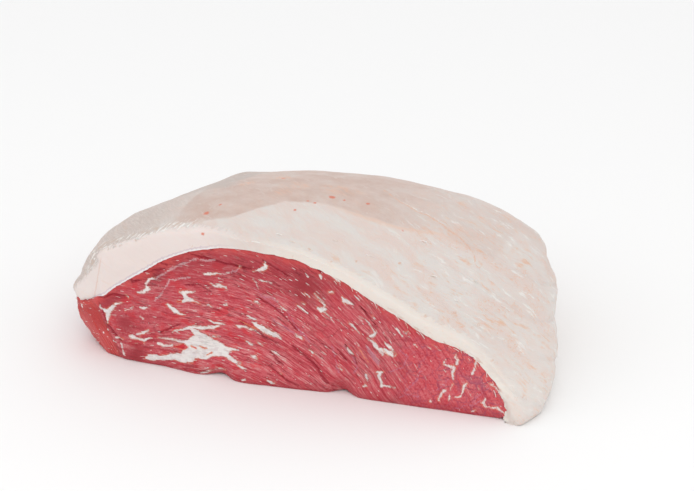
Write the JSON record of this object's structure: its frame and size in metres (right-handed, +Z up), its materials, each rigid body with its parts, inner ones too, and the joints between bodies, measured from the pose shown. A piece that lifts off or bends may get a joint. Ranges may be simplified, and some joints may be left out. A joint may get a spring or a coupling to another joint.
{
  "type": "raw top sirloin cap",
  "caption": "Raw beef sirloin cap, a half-moon joint of lean meat under its thick fat layer, cut straight across at the front and resting on its lean side.",
  "frame": {"origin": "middle of the joint's bounding box, on the table that it rests on", "axes": "+X runs along the cut face from its thick end to its thin end, +Y points back from the cut face to the tail, +Z is up through the fat cap"},
  "size_m": [0.2248, 0.2, 0.0752],
  "materials": {
    "lean": "raw lean beef, moist and lightly glossy, grained, with white marbling seams",
    "fat": "raw beef fat, cream white with a faint pink, satin, with thin orange-brown stains"
  },
  "bodies": {
    "root": {"lean": "lean", "fat_cap": "fat"}
  },
  "joints": []
}
